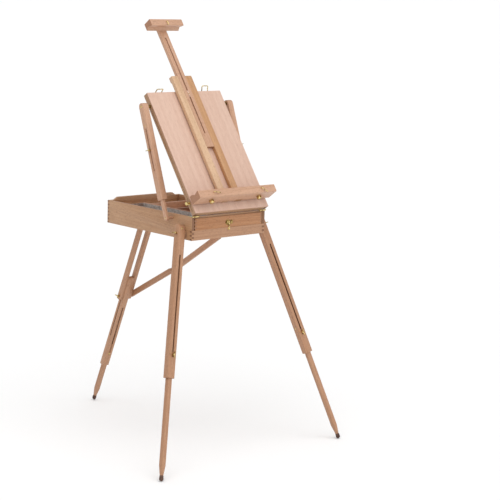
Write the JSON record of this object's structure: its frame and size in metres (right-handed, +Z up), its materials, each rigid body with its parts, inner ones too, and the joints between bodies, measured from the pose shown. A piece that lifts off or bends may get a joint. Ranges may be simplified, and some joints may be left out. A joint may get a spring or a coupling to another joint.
{
  "type": "wooden artist easel",
  "caption": "Folding wooden sketch-box easel: a drawer box on telescopic legs with a hinged canvas panel, a sliding tray and a sliding mast.",
  "frame": {"origin": "on the floor, under the middle of the easel's bounding box", "axes": "+Z up, -Y towards the artist, +X to the right as the artist sees the easel"},
  "size_m": [0.993, 1.1156, 1.7543],
  "materials": {
    "beech": "satin oiled beech",
    "beech_side": "satin oiled beech, duller tone",
    "plywood": "smooth pale plywood",
    "brass": "polished brass plate",
    "aluminium": "bright sheet",
    "rubber": "dark brown rubber"
  },
  "bodies": {
    "box": {"side_board_left": "beech_side", "side_board_right": "beech_side", "rear_board": "beech_side", "front_board": "beech", "bottom_panel": "plywood", "drawer_shelf": "plywood", "hinge_left": "brass", "hinge_right": "brass", "rear_leg_bracket": "brass"},
    "drawer": {"drawer_front": "beech", "drawer_side_left": "beech", "drawer_side_right": "beech", "drawer_back": "beech", "drawer_bottom": "plywood", "drawer_divider": "beech", "metal_liner": "aluminium"},
    "latch": {"drawer_latch": "brass"},
    "lid": {"lid_side_rail_left": "beech_side", "lid_side_rail_right": "beech_side", "lid_top_rail": "beech_side", "lid_bottom_rail": "beech_side", "canvas_panel": "plywood"},
    "mast_clamp": {"mast_clamp_screw": "brass"},
    "carriage": {"carriage_rail_left": "beech", "carriage_rail_right": "beech", "carriage_back": "plywood", "canvas_tray": "beech"},
    "mast": {"mast": "beech", "mast_head": "beech"},
    "head_hook": {"head_hook": "brass"},
    "rear_leg": {"rear_leg_rail_left": "beech", "rear_leg_rail_right": "beech"},
    "rear_middle": {"rear_leg_middle": "beech"},
    "rear_lower": {"rear_leg_lower": "beech", "rear_foot": "rubber"},
    "rear_knee": {"rear_knee_screw": "brass"},
    "brace_front": {"brace_front": "beech"},
    "brace_rear": {"brace_rear": "beech"},
    "arm_left": {"arm_bar_left": "beech"},
    "arm_channel_left": {"arm_channel_left": "beech"},
    "arm_screw_left": {"arm_wing_screw_left": "brass"},
    "bail_left": {"bail_loop_left": "brass"},
    "hook_left": {"canvas_hook_left": "brass"},
    "thumb_left": {"thumb_screw_left": "brass"},
    "front_leg_left": {"front_leg_upper_left": "beech"},
    "front_lower_left": {"front_leg_lower_left": "beech", "front_foot_left": "rubber"},
    "front_pivot_left": {"front_leg_pivot_left": "brass"},
    "front_clamp_left": {"front_leg_clamp_left": "brass"},
    "arm_right": {"arm_bar_right": "beech"},
    "arm_channel_right": {"arm_channel_right": "beech"},
    "arm_screw_right": {"arm_wing_screw_right": "brass"},
    "bail_right": {"bail_loop_right": "brass"},
    "hook_right": {"canvas_hook_right": "brass"},
    "thumb_right": {"thumb_screw_right": "brass"},
    "front_leg_right": {"front_leg_upper_right": "beech"},
    "front_lower_right": {"front_leg_lower_right": "beech", "front_foot_right": "rubber"},
    "front_pivot_right": {"front_leg_pivot_right": "brass"},
    "front_clamp_right": {"front_leg_clamp_right": "brass"}
  },
  "joints": [
    {"name": "drawer_slide", "type": "slide", "parent": "box", "child": "drawer", "axis": [0, -1, 0], "range_m": [0, 0.4]},
    {"name": "latch_swing", "type": "hinge", "parent": "drawer", "child": "latch", "pos_m": [0, -0.35108, 0.95263], "axis": [0, 1, 0], "range_deg": [-100, 100]},
    {"name": "lid_hinge", "type": "hinge", "parent": "box", "child": "lid", "pos_m": [0, -0.35508, 0.98863], "axis": [1, 0, 0], "range_deg": [-54.27, 30]},
    {"name": "arm_fold_left", "type": "hinge", "parent": "box", "child": "arm_left", "pos_m": [-0.229, -0.22708, 0.97063], "axis": [1, 0, 0], "range_deg": [-66.6, 37.26]},
    {"name": "arm_slide_left", "type": "slide", "parent": "arm_left", "child": "arm_channel_left", "axis": [0, 0.3455, 0.9384], "range_m": [-0.088, 0.052]},
    {"name": "arm_screw_turn_left", "type": "hinge", "parent": "arm_left", "child": "arm_screw_left", "pos_m": [-0.2428, -0.12931, 1.2362], "axis": [1, 0, 0], "range_deg": [0, 180]},
    {"name": "arm_fold_right", "type": "hinge", "parent": "box", "child": "arm_right", "pos_m": [0.229, -0.22708, 0.97063], "axis": [1, 0, 0], "range_deg": [-66.6, 37.26]},
    {"name": "arm_slide_right", "type": "slide", "parent": "arm_right", "child": "arm_channel_right", "axis": [0, 0.3455, 0.9384], "range_m": [-0.088, 0.052]},
    {"name": "arm_screw_turn_right", "type": "hinge", "parent": "arm_right", "child": "arm_screw_right", "pos_m": [0.2428, -0.12931, 1.2362], "axis": [1, 0, 0], "range_deg": [0, 180]},
    {"name": "carriage_slide", "type": "slide", "parent": "lid", "child": "carriage", "axis": [0, 0.584, 0.8118], "range_m": [-0.03, 0.06]},
    {"name": "mast_slide", "type": "slide", "parent": "lid", "child": "mast", "axis": [0, 0.584, 0.8118], "range_m": [-0.15, 0.17]},
    {"name": "mast_clamp_turn", "type": "hinge", "parent": "lid", "child": "mast_clamp", "pos_m": [0, -0.0436, 1.41991], "axis": [0, 0.8118, -0.584], "range_deg": [0, 180]},
    {"name": "bail_swing_left", "type": "hinge", "parent": "lid", "child": "bail_left", "pos_m": [-0.128, -0.02665, 1.45084], "axis": [1, 0, 0], "range_deg": [-166, 14]},
    {"name": "hook_swivel_left", "type": "hinge", "parent": "carriage", "child": "hook_left", "pos_m": [-0.128, -0.39836, 1.08875], "axis": [0, -0.8118, 0.584], "range_deg": [-180, 180]},
    {"name": "thumb_turn_left", "type": "hinge", "parent": "carriage", "child": "thumb_left", "pos_m": [-0.128, -0.38429, 1.05522], "axis": [0, 0.584, 0.8118], "range_deg": [0, 180]},
    {"name": "bail_swing_right", "type": "hinge", "parent": "lid", "child": "bail_right", "pos_m": [0.128, -0.02665, 1.45084], "axis": [1, 0, 0], "range_deg": [-129, 51]},
    {"name": "hook_swivel_right", "type": "hinge", "parent": "carriage", "child": "hook_right", "pos_m": [0.128, -0.39836, 1.08875], "axis": [0, -0.8118, 0.584], "range_deg": [-180, 180]},
    {"name": "thumb_turn_right", "type": "hinge", "parent": "carriage", "child": "thumb_right", "pos_m": [0.128, -0.38429, 1.05522], "axis": [0, 0.584, 0.8118], "range_deg": [0, 180]},
    {"name": "head_hook_swivel", "type": "hinge", "parent": "mast", "child": "head_hook", "pos_m": [0, 0.08004, 1.74488], "axis": [0, -0.8118, 0.584], "range_deg": [-180, 180]},
    {"name": "front_leg_fold_left", "type": "hinge", "parent": "box", "child": "front_leg_left", "pos_m": [-0.222, -0.30508, 0.91663], "axis": [0.9598, 0, -0.2808], "range_deg": [0, 104.45]},
    {"name": "front_leg_slide_left", "type": "slide", "parent": "front_leg_left", "child": "front_lower_left", "axis": [0.2719, 0.2496, 0.9294], "range_m": [0, 0.385]},
    {"name": "front_pivot_turn_left", "type": "hinge", "parent": "front_leg_left", "child": "front_pivot_left", "pos_m": [-0.23908, -0.30508, 0.92163], "axis": [0.9598, 0, -0.2808], "range_deg": [0, 180]},
    {"name": "front_clamp_turn_left", "type": "hinge", "parent": "front_lower_left", "child": "front_clamp_left", "pos_m": [-0.35431, -0.44026, 0.46442], "axis": [-0.0701, 0.9684, -0.2396], "range_deg": [0, 180]},
    {"name": "front_leg_fold_right", "type": "hinge", "parent": "box", "child": "front_leg_right", "pos_m": [0.222, -0.30508, 0.91663], "axis": [0.9598, 0, 0.2808], "range_deg": [0, 104.45]},
    {"name": "front_leg_slide_right", "type": "slide", "parent": "front_leg_right", "child": "front_lower_right", "axis": [-0.2719, 0.2496, 0.9294], "range_m": [0, 0.385]},
    {"name": "front_pivot_turn_right", "type": "hinge", "parent": "front_leg_right", "child": "front_pivot_right", "pos_m": [0.23908, -0.30508, 0.92163], "axis": [0.9598, 0, 0.2808], "range_deg": [0, 180]},
    {"name": "front_clamp_turn_right", "type": "hinge", "parent": "front_lower_right", "child": "front_clamp_right", "pos_m": [0.35431, -0.44026, 0.46442], "axis": [0.0701, 0.9684, -0.2396], "range_deg": [0, 180]},
    {"name": "rear_leg_fold", "type": "hinge", "parent": "box", "child": "rear_leg", "pos_m": [0, 0.18792, 0.87663], "axis": [-1, 0, 0], "range_deg": [0, 112.6]},
    {"name": "rear_middle_slide", "type": "slide", "parent": "rear_leg", "child": "rear_middle", "axis": [0, -0.3843, 0.9232], "range_m": [0, 0.205]},
    {"name": "rear_lower_slide", "type": "slide", "parent": "rear_middle", "child": "rear_lower", "axis": [0, -0.3843, 0.9232], "range_m": [0, 0.19]},
    {"name": "rear_knee_turn", "type": "hinge", "parent": "rear_leg", "child": "rear_knee", "pos_m": [-0.0332, 0.33203, 0.53043], "axis": [1, 0, 0], "range_deg": [0, 180]},
    {"name": "brace_front_fold", "type": "hinge", "parent": "box", "child": "brace_front", "pos_m": [0.0485, -0.23308, 0.87063], "axis": [-1, 0, 0], "range_deg": [-34.41, 1]},
    {"name": "brace_rear_fold", "type": "hinge", "parent": "brace_front", "child": "brace_rear", "pos_m": [0.0433, 0.06328, 0.67884], "axis": [-1, 0, 0], "range_deg": [-1, 186.04]}
  ],
  "couplings": [
    {"joint": "arm_fold_left", "follows": "lid_hinge", "ratio": 1.2087},
    {"joint": "arm_slide_left", "follows": "lid_hinge", "m_per_rad": 0.0884},
    {"joint": "arm_fold_right", "follows": "lid_hinge", "ratio": 1.2087},
    {"joint": "arm_slide_right", "follows": "lid_hinge", "m_per_rad": 0.0884},
    {"joint": "brace_front_fold", "follows": "rear_leg_fold", "ratio": -0.29674},
    {"joint": "brace_rear_fold", "follows": "rear_leg_fold", "ratio": 1.6434}
  ]
}
